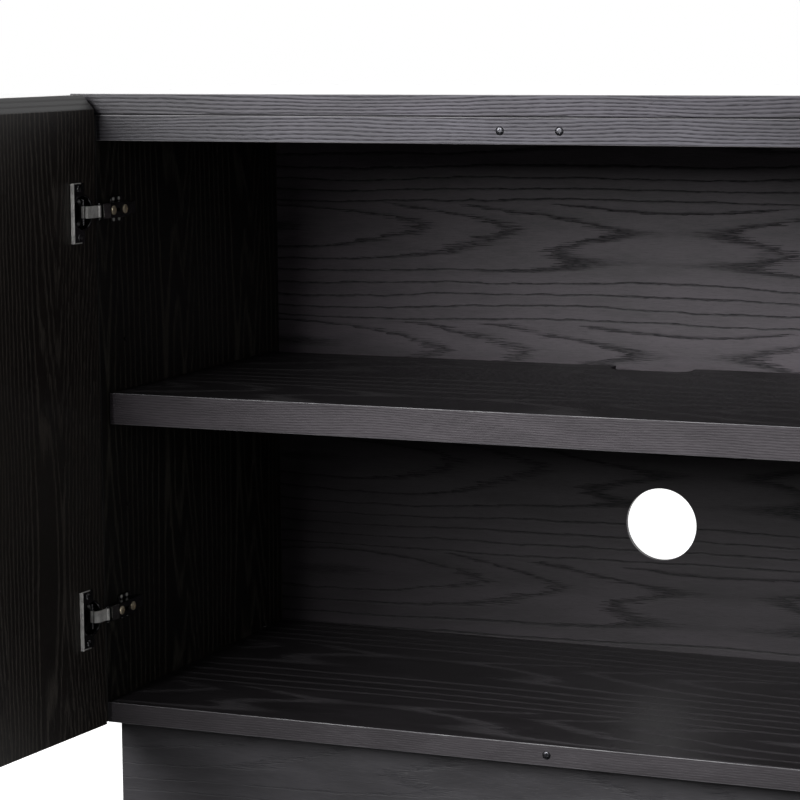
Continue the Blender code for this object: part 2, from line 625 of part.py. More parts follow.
def main():
    for obj in list(bpy.data.objects):
        bpy.data.objects.remove(obj, do_unlink=True)
    wood = material("black_oak", (0.016, 0.014, 0.017), 0.55, 0.0)
    steel = material("nickel_steel", (0.38, 0.37, 0.36), 0.25, 1.0)
    brass = material("brassed_steel", (0.55, 0.44, 0.30), 0.30, 1.0)
    magnet = material("magnet", (0.30, 0.30, 0.31), 0.35, 1.0)
    boards = make_carcass(wood)
    make_plinth(wood)
    make_shelf(wood)
    make_shelf_pins(boards, steel)
    make_strikes(boards, steel)
    for side in SIDES:
        make_door_side(side, wood, steel, brass, magnet)


main()
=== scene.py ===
"""Looks of the two-door media cabinet: stained oak veneers, detailed concealed hinges, studio and camera.

Everything is in metres, in the part's own frame: X right, Y from front to back, Z up.
"""

import json
import math

import bmesh
import bpy
from mathutils import Matrix, Vector


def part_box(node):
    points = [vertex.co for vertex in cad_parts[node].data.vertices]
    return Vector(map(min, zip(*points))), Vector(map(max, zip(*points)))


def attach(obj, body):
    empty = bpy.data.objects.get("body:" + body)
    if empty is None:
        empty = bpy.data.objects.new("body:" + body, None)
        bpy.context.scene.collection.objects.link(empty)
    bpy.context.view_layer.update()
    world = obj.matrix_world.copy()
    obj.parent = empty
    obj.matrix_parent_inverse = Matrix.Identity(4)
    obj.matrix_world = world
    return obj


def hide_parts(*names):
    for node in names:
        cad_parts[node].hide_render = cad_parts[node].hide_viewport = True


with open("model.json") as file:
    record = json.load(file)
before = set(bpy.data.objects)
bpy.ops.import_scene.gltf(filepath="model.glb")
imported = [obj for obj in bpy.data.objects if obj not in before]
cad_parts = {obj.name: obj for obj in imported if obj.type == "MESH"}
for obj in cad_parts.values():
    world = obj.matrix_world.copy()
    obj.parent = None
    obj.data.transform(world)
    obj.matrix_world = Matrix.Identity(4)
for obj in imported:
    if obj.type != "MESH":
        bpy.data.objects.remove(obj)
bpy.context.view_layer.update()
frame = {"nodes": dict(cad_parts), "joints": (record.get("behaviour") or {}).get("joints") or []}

# ---- Places and sizes taken from the frame -------------------------------------------------------
SIDES = {"left": -1, "right": 1}
LEVELS = ("upper", "lower")
HALF_BAY = -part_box("left_side")[1].x
FRONT_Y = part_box("left_side")[0].y
PIVOTS = {j["name"]: j["pos_m"] for j in frame["joints"]}
OPEN_ANGLE = math.radians(95)      # the doors' rest position

# ---- Hinge, in plan for the left side: x from the side panel into the bay, y in from the front ---
# On the door, s runs in from the hinge edge and h stands above the inner face.
SEAT = 0.0003                      # gap under a part that lies on a board
ARM_PIN = Vector((HALF_BAY + PIVOTS["left_link_swing"][0], PIVOTS["left_link_swing"][1] - FRONT_Y))
CUP_PIN = Vector((HALF_BAY + PIVOTS["left_door_swing"][0], PIVOTS["left_door_swing"][1] - FRONT_Y))
CUP_PIN_S = 0.0174
CUP_PIN_H = -0.0039

CUP_S = 0.0255
CUP_R = 0.0175
CUP_WALL = 0.0012
CUP_DEPTH = 0.0129
CUP_FLOOR = 0.0007
CUP_ROUND = 0.0015                 # the cup's outer bottom edge
CUP_DISH = (0.0022, 0.0030)        # the slope from wall to floor inside: its width and its top
RIM_R = 0.0187
RIM_T = 0.0009
RIM_ROUND = 0.0004
RIM_LEAD = 0.0006                  # the rim's slope into the cup

FLANGE_S = (0.0222, 0.0460)
FLANGE_HALF = 0.030
FLANGE_T = 0.0008
FLANGE_ROUND = 0.0022
FLANGE_BITE = CUP_R + 0.0004       # radius cut out of the flange round the cup
FLANGE_SCREW_S = 0.0315
FLANGE_SCREW_Z = 0.024
FLANGE_HOLE_R = 0.0019
LIP_T = 0.0014
LIP_H = 0.0045
LIP_HALF = FLANGE_HALF - 0.0004
CURL_S = 0.0288                    # the flange's turned ends start here, clear of the side when closed
CURL_H = 0.0012
CURL_T = 0.0010
FOLD_ROUND = 0.0005                # edges of the lip and the turned ends

LINK_T = 0.0018
LINK_HALF = 0.0060
LINK_BENDS = ((0.0045, 0.0038), (0.0155, 0.0027), (0.0180, 0.0016), (0.0190, 0.0002))    # s and h
KNUCKLE_R = 0.0022
KNUCKLE_ROUND = 0.0004
PIN_R = 0.00125
RIVET_HEAD = 0.0007
PIN_TIP = 0.8                      # share of a pin's radius left at its ends

ARM_HALF = 0.0078
ARM_TOP = 0.0124
ARM_FRONT = 0.0062                 # the web starts here, behind the step
ARM_REAR = 0.044
ARM_ROUND = 0.0018
SHEET_T = 0.0014
WEB_MIDDLE = ARM_TOP - SHEET_T / 2
# Middle line of the bent sheet in front of the web, x and y.
ARM_STEP = ((0.0102, -0.0052), (0.0107, 0.0006), (WEB_MIDDLE, 0.0052), (WEB_MIDDLE, ARM_FRONT + 0.0012))
STEP_HALF = ARM_HALF - 0.0002
ARM_SCREW_Y = (0.012, 0.036)
ARM_HOLE_R = 0.0025
VENT_Y = (0.0195, 0.0275)
VENT_HALF = 0.0016
VENT_ROUND = 0.0015
NOSE_R = 0.0024                    # the cheeks' round end about the rivet
CHEEK_TOP = ARM_TOP - 0.0004
# A cheek's edge from its nose along the web and back, x and y.
CHEEK_EDGE = ((0.0110, -0.0030), (0.0113, 0.0006), (CHEEK_TOP, 0.0050), (CHEEK_TOP, ARM_REAR - 0.001),
              (0.0082, ARM_REAR), (0.0040, ARM_REAR - 0.0022), (0.0040, 0.0030),
              (ARM_PIN.x - NOSE_R, -0.0030))
EYE_R = PIN_R + 0.0003

PLATE_Y = (0.022, 0.066)
HUB_HALF = 0.0061
HUB_TOP = 0.0082
HUB_ROUND = 0.0016
EAR_Y = (0.024, 0.049)
EAR_HALF = 0.0128
EAR_TOP = 0.0030
EAR_ROUND = 0.0030
EAR_SCREW_Y = (0.0285, 0.0400)
EAR_SCREW_Z = 0.0103

# ---- Bevels on the edges of sheet and cast parts -------------------------------------------------
BEVEL_FLANGE = 0.00018
BEVEL_FOLD = 0.0002
BEVEL_SHEET = 0.0003
BEVEL_LINK = 0.00035
BEVEL_CAST = 0.0005
CREASE = math.radians(32)          # a sharper edge is drawn as an edge

# ---- Camera --------------------------------------------------------------------------------------
CAMERA_PLACE = Vector((0.8749, -2.6468, 0.8208))
CAMERA_YAW = 0.394                 # turned towards the left
CAMERA_PITCH = 0.134               # tilted down
CAMERA_ROLL = -0.007
LENS_MM = 123.5
SENSOR_MM = 36.0
CAMERA_REACH = 60.0                # nothing further away is drawn


# ==== Shader building =============================================================================
class Shader:
    """A material in the making: each call adds a node and returns its output."""

    def __init__(self, name, **constants):
        self.mat = bpy.data.materials.new(name)
        self.mat.use_nodes = True
        self.nodes = self.mat.node_tree.nodes
        self.bsdf = self.nodes["Principled BSDF"]
        for socket, value in constants.items():
            self.bsdf.inputs[socket.replace("_", " ")].default_value = value

    def put(self, value, socket):
        """Link an output, or set a plain value."""
        if isinstance(value, bpy.types.NodeSocket):
            self.mat.node_tree.links.new(value, socket)
        else:
            socket.default_value = value

    def math(self, operation, a, b=0.0, clamp=False):
        node = self.nodes.new("ShaderNodeMath")
        node.operation = operation
        node.use_clamp = clamp
        self.put(a, node.inputs[0])
        self.put(b, node.inputs[1])
        return node.outputs[0]

    def add(self, a, b):
        return self.math("ADD", a, b)

    def times(self, a, b):
        return self.math("MULTIPLY", a, b)

    def pick(self, share, a, b):
        """a where share is 0, b where it is 1."""
        node = self.nodes.new("ShaderNodeMix")
        self.put(share, node.inputs[0])
        self.put(a, node.inputs[2])
        self.put(b, node.inputs[3])
        return node.outputs[0]

    def ramp(self, value, low, high, out_low=0.0, out_high=1.0):
        """A smooth step from out_low to out_high as the value goes from low to high."""
        node = self.nodes.new("ShaderNodeMapRange")
        node.interpolation_type = "SMOOTHSTEP"
        for socket, v in zip(node.inputs, (value, low, high, out_low, out_high)):
            self.put(v, socket)
        return node.outputs[0]

    def noise(self, x, y, z, detail):
        """Noise at a point made of three coordinates, each already divided by its own size."""
        join = self.nodes.new("ShaderNodeCombineXYZ")
        for socket, v in zip(join.inputs, (x, y, z)):
            self.put(v, socket)
        node = self.nodes.new("ShaderNodeTexNoise")
        node.inputs["Scale"].default_value = 1.0
        node.inputs["Detail"].default_value = detail
        self.put(join.outputs[0], node.inputs["Vector"])
        return node.outputs[0]

    def swing(self, value, reach):
        """Noise around a half, turned into an offset of up to plus or minus the reach."""
        return self.times(self.add(value, -0.5), self.times(reach, 2.0))

    def colour(self, share, a, b):
        node = self.nodes.new("ShaderNodeMix")
        node.data_type = "RGBA"
        self.put(share, node.inputs[0])
        for tone, socket in ((a, node.inputs[6]), (b, node.inputs[7])):
            self.put((*tone, 1.0) if isinstance(tone, tuple) else tone, socket)
        return node.outputs[2]

    def scaled(self, colour, factor):
        node = self.nodes.new("ShaderNodeVectorMath")
        node.operation = "SCALE"
        self.put(colour, node.inputs[0])
        self.put(factor, node.inputs["Scale"])
        return node.outputs[0]

    def split(self, vector):
        node = self.nodes.new("ShaderNodeSeparateXYZ")
        self.put(vector, node.inputs[0])
        return dict(zip("XYZ", node.outputs))

    def turned(self, vector, angle):
        node = self.nodes.new("ShaderNodeVectorRotate")
        node.rotation_type = "Z_AXIS"
        self.put(vector, node.inputs["Vector"])
        node.inputs["Angle"].default_value = angle
        return node.outputs[0]

    def bump(self, height, distance):
        node = self.nodes.new("ShaderNodeBump")
        node.inputs["Distance"].default_value = distance
        self.put(height, node.inputs["Height"])
        self.put(node.outputs[0], self.bsdf.inputs["Normal"])


# ==== Veneer ======================================================================================
# One veneer leaf: its width, a seam, the heart line in from the seam, where the arches peak along the
# grain, how many stack there, how far they fall away and over what length, how tightly the flanks run and
# how blunt the arches are, how far down the heart reaches, and how far each leaf slips from the last.
LEAF = dict(width=0.132, seam=0.6282, heart=0.028, peak_at=0.007, peak=3.2, arch=1.55, length=0.934,
            pitch=80.0, blunt=0.0155, reach=0.030, slip=0.021)
HEART_SHARE = 0.88                 # the part of a leaf's arches that fades below the heart

# Each pattern's changes per metre along and across the grain, its detail, and a shift of its own.
PATTERNS = {
    "ragged": (26, 900, 1.0, 0.0),
    "sway": (4.5, 14, 1.0, 20.0),
    "ripple": (38, 90, 2.0, 40.0),
    "dash": (95, 1300, 1.0, 60.0),
    "fleck": (130, 1500, 1.0, 80.0),
    "cloud": (9, 40, 3.0, 100.0),
    "fibre": (60, 900, 2.0, 120.0),
    "wander": (3, 38, 1.0, 140.0),
}
RAGGED, WANDER, SWAY = 0.042, 0.035, 0.007     # how far each pattern pushes the rings
RIPPLE_EDGE, RIPPLE_FACE = 0.0009, 0.0022
DASHES = (0.40, 0.62)              # the pattern's values between which a ring's pores open
FLECKS = (0.56, 0.74)              # the same for single flecks
CLOUD_SHARE, FIBRE_SHARE, RING_SHARE = 0.9, 0.45, 0.12
FACING = 0.8                       # a surface this square to an axis faces along it
ARRIS = (0.992, 0.93)              # a surface leaning between these is an arris, drawn paler as a painted highlight with some wear
END_FADE = (0.12, 0.46)            # distance from the middle over which a board's ends darken, as painted shade
LOW_FADE = (0.36, 0.48)            # height over which an upright board's lower part darkens, as painted shade
EDGE_BAND = 0.55                   # share of a ring that is open-pored on a board's edge
DEEP, PALE = 0.70, 1.32            # darkest and palest stain, as shares of the ground colour
PORE_DEPTH = 0.00018
FIBRE_DEPTH = 0.25                 # of the pores' depth
ROUGHNESS = 0.41
PORE_ROUGHNESS, CLOUD_ROUGHNESS, ARRIS_POLISH = 0.22, 0.10, 0.08
COAT_ROUGHNESS = 0.12


def board_place(s, axes, turn):
    """Where a point lies along and across the grain, whether it is on a face or an end, and any arris."""
    coord = s.nodes.new("ShaderNodeTexCoord")
    place, facing = coord.outputs["Object"], coord.outputs["Normal"]
    if turn:
        place, facing = s.turned(place, turn), s.turned(facing, turn)
    point, normal = s.split(place), s.split(facing)
    lean = {a: s.math("ABSOLUTE", normal[a]) for a in "XYZ"}
    along, across, depth = (point[a] for a in axes)
    on_end = s.math("GREATER_THAN", lean[axes[0]], FACING)
    on_face = s.math("GREATER_THAN", lean[axes[2]], FACING)
    steepest = s.math("MAXIMUM", lean["X"], s.math("MAXIMUM", lean["Y"], lean["Z"]))
    u = s.pick(on_end, along, across)
    v = s.pick(on_face, depth, across)
    return u, v, on_face, on_end, s.ramp(steepest, *ARRIS)


def leaf_rings(s, leaf, u, v):
    """Rings counted over flat-sawn leaves that lie side by side."""
    row = s.math("DIVIDE", s.math("SUBTRACT", leaf["seam"], v), leaf["width"])
    index = s.math("FLOOR", row)
    off = s.add(s.times(s.math("SUBTRACT", row, index), leaf["width"]), -leaf["heart"])
    from_peak = s.add(u, s.add(s.times(index, -leaf["slip"]), -leaf["peak_at"]))
    bow = s.math("COSINE", s.times(from_peak, 2 * math.pi / leaf["length"]))
    crown = s.add(s.times(bow, leaf["arch"]), leaf["peak"] - leaf["arch"])
    below = s.math("POWER", s.times(s.math("MAXIMUM", off, 0.0), 1 / leaf["reach"]), 4.0)
    hold = s.add(s.math("DIVIDE", HEART_SHARE, s.add(below, 1.0)), 1 - HEART_SHARE)
    spread = s.math("SQRT", s.add(s.times(off, off), leaf["blunt"] ** 2))
    flank = s.times(s.add(spread, -leaf["blunt"]), leaf["pitch"])
    return s.add(s.times(crown, hold), flank)


def oak(name, axes, ground, pore, arris, face_pore_sheen=None, leaf=LEAF, turn=0.0, seed=0.0, edge_ring=0.0045,
        contrast=1.0, edge_contrast=None, face_shade=1.0, end_shade=1.0, low_shade=1.0, band=0.15, gloss=0.0):
    """Stained open-pored oak veneer.

    axes names the grain direction, the direction across the leaves and the board's thickness.
    Faces show flat-sawn leaves side by side, edges show straight grain along their length.
    The end, low and face factors are painted shade: how much darker the board is drawn at its ends,
    in its lower part and on its faces against its edges. A paler face pore colour paints a sheen along the
    rings.
    """
    s = Shader(name)
    u, v, on_face, on_end, arris_mask = board_place(s, axes, turn)
    kind = s.add(s.times(on_face, 3.0), s.add(s.times(on_end, 7.0), seed))
    pattern = {key: s.noise(s.times(u, lengthwise), s.times(v, crosswise), s.add(kind, shift), detail)
               for key, (lengthwise, crosswise, detail, shift) in PATTERNS.items()}

    # Rings, bent and frayed.
    u_bent = s.add(u, s.add(s.swing(pattern["ragged"], RAGGED), s.swing(pattern["wander"], WANDER)))
    ripple_reach = s.pick(on_face, RIPPLE_EDGE, RIPPLE_FACE)
    v_bent = s.add(s.add(v, s.swing(pattern["sway"], SWAY)), s.swing(pattern["ripple"], ripple_reach))
    straight = s.times(v_bent, 1 / edge_ring)
    ring = s.math("FRACT", s.pick(on_face, straight, leaf_rings(s, leaf, u_bent, v_bent)))
    width = s.pick(on_face, EDGE_BAND, band)
    line = s.ramp(ring, s.times(width, 0.3), width, 1.0, 0.0)

    # Pores along the rings, with flecks between them.
    dash = s.ramp(pattern["dash"], *DASHES)
    fleck = s.ramp(pattern["fleck"], *FLECKS)
    pores = s.math("ADD", s.times(line, s.add(s.times(dash, 0.50), 0.50)), s.times(fleck, 0.25), clamp=True)

    # Colour: clouded ground, darker or paler pores, painted shade, and arrises drawn paler as a painted
    # highlight with some wear.
    cloud, fibre = pattern["cloud"], pattern["fibre"]
    fine = s.add(s.times(fibre, FIBRE_SHARE), s.times(ring, RING_SHARE))
    shade = s.add(s.times(cloud, CLOUD_SHARE), fine)
    deep = tuple(DEEP * c for c in ground)
    pale = tuple(PALE * c for c in ground)
    base = s.colour(s.ramp(shade, 0.42, 1.02), deep, pale)
    # Painted shade: the board is drawn darker at its ends, in its lower part and on its faces.
    tone = s.times(s.pick(on_face, 1.0, face_shade), s.ramp(s.math("ABSOLUTE", u), *END_FADE, 1.0, end_shade))
    tone = s.times(tone, s.ramp(v, *LOW_FADE, low_shade, 1.0))
    strength = s.pick(on_face, contrast if edge_contrast is None else edge_contrast, contrast)
    # On the shelf's and bottom's top faces the ring lines are grain, but their paler colour is a painted
    # sheen.
    pore_tone = s.colour(on_face, pore, face_pore_sheen or pore)
    toned = s.scaled(s.colour(s.times(pores, strength), base, pore_tone), tone)
    # Painted highlight: the arris is drawn in a paler colour, patchy like wear.
    highlight_and_wear = s.times(arris_mask, s.ramp(cloud, 0.25, 0.6, 0.55, 1.0))
    s.put(s.colour(highlight_and_wear, toned, arris), s.bsdf.inputs["Base Color"])

    # Finish: rougher pores, polished arrises, pores pressed in.
    rough = s.add(s.times(pores, PORE_ROUGHNESS), s.add(s.times(cloud, CLOUD_ROUGHNESS), ROUGHNESS))
    s.put(s.math("SUBTRACT", rough, s.times(arris_mask, ARRIS_POLISH)), s.bsdf.inputs["Roughness"])
    s.bump(s.math("SUBTRACT", s.times(fibre, FIBRE_DEPTH), pores), PORE_DEPTH)
    if gloss:
        s.put(s.times(on_face, gloss), s.bsdf.inputs["Coat Weight"])
        s.bsdf.inputs["Coat Roughness"].default_value = COAT_ROUGHNESS
    return s.mat


# ==== Metals ======================================================================================
DRIFT = 160                        # changes per metre in the plating's tone
BRUSH, BRUSH_Z = 900, 5200         # handling marks per metre, level and upright
BRUSH_DEPTH = 0.00002
DULL = 0.72                        # the dullest plating, as a share of its colour


def metal(name, colour, roughness, smudge=0.08, metallic=1.0):
    """Plated steel: the plating's tone and polish drift, with fine handling marks."""
    s = Shader(name, Metallic=metallic)
    x, y, z = s.split(s.nodes.new("ShaderNodeTexCoord").outputs["Object"]).values()
    drift = s.noise(s.times(x, DRIFT), s.times(y, DRIFT), s.times(z, DRIFT), 3.0)
    grain = s.noise(s.times(x, BRUSH), s.times(y, BRUSH), s.times(z, BRUSH_Z), 2.0)
    dull = tuple(DULL * c for c in colour)
    s.put(s.colour(s.ramp(drift, 0.35, 0.65), dull, colour), s.bsdf.inputs["Base Color"])
    s.put(s.add(s.times(drift, smudge * 2), roughness - smudge), s.bsdf.inputs["Roughness"])
    s.bump(grain, BRUSH_DEPTH)
    return s.mat


# ==== Materials ===================================================================================
PORE_DARK = (0.003, 0.002, 0.005)
PORE_TOP = (0.012, 0.010, 0.016)
PLINTH_GROUND = (0.046, 0.044, 0.049)
PLINTH_PORE = (0.020, 0.019, 0.024)
# Arris colours, paler than the grounds: painted highlights along the board edges, with some wear.
ARRIS_GREY = (0.150, 0.145, 0.155)
ARRIS_PLINTH = (0.070, 0.070, 0.075)
ARRIS_DOOR = (0.033, 0.032, 0.034)
ARRIS_DARK = (0.030, 0.028, 0.029)
TOP_LEAF = dict(LEAF, seam=0.25, peak_at=0.05)
SHELF_LEAF = dict(LEAF, seam=-0.10, peak_at=-0.13, width=0.24, pitch=36.0, reach=0.06)
BOTTOM_LEAF = dict(LEAF, seam=-0.11, peak_at=-0.20, width=0.21, pitch=44.0, reach=0.05)
PLINTH_LEAF = dict(LEAF, seam=0.135, peak_at=-0.02)
SIDE_LEAF = dict(LEAF, seam=0.16, width=0.17, peak_at=0.40, peak=6.2, arch=2.4, pitch=90.0, blunt=0.006)
DOOR_LEAF = dict(LEAF, seam=-0.25, width=0.19, heart=0.092, peak_at=0.30, peak=6.2, arch=2.4,
                 pitch=170.0, blunt=0.006)
MAT = {
    # The top boards' ends are drawn darker: painted shade.
    "top": oak("oak_top", "XYZ", (0.079, 0.073, 0.090), PORE_TOP, ARRIS_GREY, seed=1.0, leaf=TOP_LEAF,
               edge_ring=0.0036, end_shade=0.34, gloss=1.0),
    "sub_top": oak("oak_sub_top", "XYZ", (0.082, 0.077, 0.094), PORE_TOP, ARRIS_GREY, seed=12.0,
                   edge_ring=0.0036, end_shade=0.34),
    # The back panel is drawn darker below the shelf: painted shade of the lower bay.
    "back": oak("oak_back", "XZY", (0.080, 0.068, 0.080), PORE_DARK, ARRIS_GREY, seed=23.0,
                low_shade=0.45, band=0.24),
    # The shelf's top face is drawn darker than its edges: painted shade. Its paler ring pores paint a
    # sheen.
    "shelf": oak("oak_shelf", "XYZ", (0.064, 0.056, 0.064), (0.026, 0.022, 0.026), ARRIS_GREY, seed=34.0,
                 face_pore_sheen=(0.30, 0.28, 0.30), leaf=SHELF_LEAF, edge_ring=0.0024, contrast=0.7,
                 edge_contrast=0.5, face_shade=0.18, band=0.30),
    # The bottom's top face is drawn darker than its edges: painted shade. Its paler ring pores paint a
    # sheen.
    "bottom": oak("oak_bottom", "XYZ", (0.046, 0.041, 0.046), (0.100, 0.092, 0.104), ARRIS_GREY,
                  seed=45.0, face_pore_sheen=(0.22, 0.205, 0.225), leaf=BOTTOM_LEAF, edge_ring=0.0024,
                  contrast=0.7, edge_contrast=0.2, face_shade=0.42, band=0.30),
    "plinth": oak("oak_plinth", "XZY", PLINTH_GROUND, PLINTH_PORE, ARRIS_PLINTH, seed=56.0,
                  leaf=PLINTH_LEAF, contrast=0.7),
    "plinth_end": oak("oak_plinth_end", "YZX", PLINTH_GROUND, PLINTH_PORE, ARRIS_PLINTH, seed=67.0,
                      contrast=0.7),
}
for side, sx in SIDES.items():
    MAT[side + "_side"] = oak("oak_%s_side" % side, "ZYX", (0.005, 0.004, 0.003), (0.090, 0.082, 0.066),
                              ARRIS_DARK, seed=78.0 + sx, leaf=SIDE_LEAF, contrast=0.8, band=0.30)
    MAT[side + "_door"] = oak("oak_%s_door" % side, "ZYX", (0.010, 0.007, 0.005), (0.085, 0.072, 0.060),
                              ARRIS_DOOR, seed=89.0 + sx, leaf=DOOR_LEAF, contrast=0.8, band=0.40,
                              turn=-sx * (OPEN_ANGLE - math.pi / 2))
MAT["satin"] = metal("satin_nickel", (0.97, 0.96, 0.93), 0.38, smudge=0.06, metallic=0.35)
MAT["blued"] = metal("blued_steel", (0.10, 0.10, 0.11), 0.34)
MAT["nickel"] = metal("nickel_plate", (0.46, 0.45, 0.43), 0.20)
MAT["dark_nickel"] = metal("dark_nickel", (0.16, 0.16, 0.16), 0.16)
MAT["brassed"] = metal("brassed_steel", (0.98, 0.84, 0.62), 0.22, metallic=0.55)
MAT["zinc"] = metal("zinc_plate", (0.30, 0.30, 0.31), 0.26)

BOARDS = {
    "top_panel": "top", "sub_top": "sub_top", "back_panel": "back", "shelf": "shelf",
    "bottom_panel": "bottom", "plinth_front": "plinth", "plinth_back": "plinth",
    "plinth_left": "plinth_end", "plinth_right": "plinth_end", "plinth_centre_rail": "plinth_end",
    "left_side": "left_side", "right_side": "right_side",
    "left_door": "left_door", "right_door": "right_door",
}
for node, obj in frame["nodes"].items():
    key = BOARDS.get(node, "plinth" if node.startswith("plinth_block") else "zinc")
    obj.data.materials.clear()
    obj.data.materials.append(MAT[key])


# ==== Mesh building ===============================================================================
def piece(name, bm, where, mat, body, bevel=0.0, stands_for=()):
    """Finish a mesh, move it into the part's frame and hang it on its body."""
    bmesh.ops.recalc_face_normals(bm, faces=bm.faces[:])
    bm.transform(where)
    if where.determinant() < 0:
        bmesh.ops.reverse_faces(bm, faces=bm.faces[:])
    mesh = bpy.data.meshes.new(name)
    bm.to_mesh(mesh)
    bm.free()
    mesh.shade_smooth()
    mesh.set_sharp_from_angle(angle=CREASE)
    obj = bpy.data.objects.new(name, mesh)
    bpy.context.scene.collection.objects.link(obj)
    mesh.materials.append(mat)
    if bevel:
        mod = obj.modifiers.new("rounding", "BEVEL")
        mod.width = bevel
        mod.segments = 2
        mod.limit_method = "ANGLE"
        mod.harden_normals = True
    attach(obj, body)
    if stands_for:
        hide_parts(*stands_for)
    return obj


def arc(centre, radius, start, end, steps):
    """Points on an arc, angles in degrees."""
    turns = [math.radians(start + (end - start) * i / steps) for i in range(steps + 1)]
    return [(centre[0] + radius * math.cos(t), centre[1] + radius * math.sin(t)) for t in turns]


def circle(centre, radius, steps):
    return arc(centre, radius, 0, 360, steps)[:-1]


def rounded_box(a0, b0, a1, b1, radius, steps=5):
    """A rectangle with round corners."""
    corners = (((a1 - radius, b1 - radius), 0), ((a0 + radius, b1 - radius), 90),
               ((a0 + radius, b0 + radius), 180), ((a1 - radius, b0 + radius), 270))
    return [p for centre, start in corners for p in arc(centre, radius, start, start + 90, steps)]


def slab(outer, holes, low, high):
    """A flat plate in its own a-b plane with holes, from one height to another."""
    bm = bmesh.new()
    edges = []
    for loop in (outer, *holes):
        verts = [bm.verts.new((a, b, low)) for a, b in loop]
        edges += [bm.edges.new((verts[i - 1], verts[i])) for i in range(len(verts))]
    bmesh.ops.triangle_fill(bm, edges=edges, use_beauty=True, use_dissolve=True)
    grown = bmesh.ops.extrude_face_region(bm, geom=bm.faces[:])
    top = [v for v in grown["geom"] if isinstance(v, bmesh.types.BMVert)]
    bmesh.ops.translate(bm, vec=(0, 0, high - low), verts=top)
    return bm


def lathe(profile, segments):
    """A closed profile of (radius, height) points turned about the Z axis."""
    bm = bmesh.new()
    rings = []
    for radius, height in profile:
        if radius == 0:
            rings.append([bm.verts.new((0, 0, height))])
            continue
        rings.append([bm.verts.new((a, b, height)) for a, b in circle((0, 0), radius, segments)])
    for lower, upper in zip(rings, rings[1:]):
        for i in range(segments):
            quad = [lower[i % len(lower)], lower[(i + 1) % len(lower)],
                    upper[(i + 1) % len(upper)], upper[i % len(upper)]]
            bm.faces.new(list(dict.fromkeys(quad)))
    return bm


def strip(points, width):
    """A polyline in plan given a width, as a closed outline."""
    left, right = [], []
    for i, p in enumerate(points):
        before = (p - points[i - 1]).normalized() if i else (points[1] - p).normalized()
        after = (points[i + 1] - p).normalized() if i < len(points) - 1 else before
        along = (before + after).normalized()
        normal = Vector((-along.y, along.x)) * width / 2 / max(0.5, along.dot(before))
        left.append(p + normal)
        right.append(p - normal)
    return [tuple(p) for p in left + right[::-1]]


UP_Y = Matrix.Rotation(-math.pi / 2, 4, "X")        # turns a shape's own Z to +Y
DOWN_Y = Matrix.Rotation(math.pi / 2, 4, "X")       # turns a shape's own Z to -Y
UP_X = Matrix.Rotation(math.pi / 2, 4, "Y")         # turns a shape's own Z to +X
# A slab's a-b plane turned to y-z with its height along x, and to x-z with its height along y.
FACE_X = Matrix(((0, 0, 1, 0), (1, 0, 0, 0), (0, 1, 0, 0), (0, 0, 0, 1)))
FACE_Y = Matrix(((1, 0, 0, 0), (0, 0, 1, 0), (0, 1, 0, 0), (0, 0, 0, 1)))


def at(x, y, z):
    return Matrix.Translation((x, y, z))


def level_z(side, level):
    low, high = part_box("%s_%s_hinge_arm" % (side, level))
    return (low.z + high.z) / 2


def side_frame(side, level):
    """Plan of the hinge on this side and level to the part's frame."""
    sx = SIDES[side]
    turn = Matrix.Diagonal((-sx, 1, 1, 1))
    return at(sx * HALF_BAY, FRONT_Y, level_z(side, level)) @ turn


def door_frame(side, level):
    """Door coordinates (in from the hinge edge, above the inner face, up) to the part's frame."""
    swing = Matrix.Rotation(-OPEN_ANGLE, 4, "Z")
    return side_frame(side, level) @ at(*CUP_PIN, 0) @ swing @ at(-CUP_PIN_S, -CUP_PIN_H, 0)


def door_point(s, h):
    """Plan point of the open left door."""
    return CUP_PIN + Matrix.Rotation(-OPEN_ANGLE, 2) @ Vector((s - CUP_PIN_S, h - CUP_PIN_H))


# ==== Screws ======================================================================================
SCREW_FLANGE = dict(head_r=0.0034, head_h=0.0013)
SCREW_ARM = dict(head_r=0.0046, head_h=0.0018)
SCREW_EAR = dict(head_r=0.0020, head_h=0.0010)
SCREW_STRIKE = dict(head_r=0.0039, head_h=0.0016)
SHANK_SHARE = 0.45                 # of the head's radius
SHANK_LENGTH = 0.0012
RIM_SHARE = 0.35                   # straight part of the head's height
DOME_STEPS = 5
HEAD_SEGMENTS = 28
RECESS_SHARE = 0.62                # reach of the cross recess, of the head's radius
BLADE_SHARE = 0.11                 # half width of its arms
ROOT_SHARE = 1.6                   # its inner corners, in half widths
RECESS_DEPTH = 0.0009
OVERRUN = 0.002                    # a cutting shape goes this far past the surface


def screw_blank(head_r, head_h):
    """A domed head on a short shank, seat at 0."""
    rim = RIM_SHARE * head_h
    shank_r = SHANK_SHARE * head_r
    profile = [(0, -SHANK_LENGTH), (shank_r, -SHANK_LENGTH), (shank_r, 0), (head_r, 0), (head_r, rim)]
    for step in range(1, DOME_STEPS):
        angle = math.pi / 2 * step / DOME_STEPS
        profile.append((head_r * math.cos(angle), rim + (head_h - rim) * math.sin(angle)))
    return lathe(profile + [(0, head_h)], HEAD_SEGMENTS)


def cross_cutter(head_r, head_h):
    """The cross recess, as the shape that cuts it."""
    arm, w = head_r * RECESS_SHARE, head_r * BLADE_SHARE
    root = w * ROOT_SHARE
    quarter = [(arm, -w), (arm, w), (root, root)]
    cross = []
    for turn in range(4):
        cross += quarter
        quarter = [(-b, a) for a, b in quarter]
    return slab(cross, (), head_h - RECESS_DEPTH, head_h + OVERRUN)


def solid(name, bm):
    """A scratch object for a boolean."""
    bmesh.ops.recalc_face_normals(bm, faces=bm.faces[:])
    obj = bpy.data.objects.new(name, bpy.data.meshes.new(name))
    bm.to_mesh(obj.data)
    bm.free()
    bpy.context.scene.collection.objects.link(obj)
    return obj


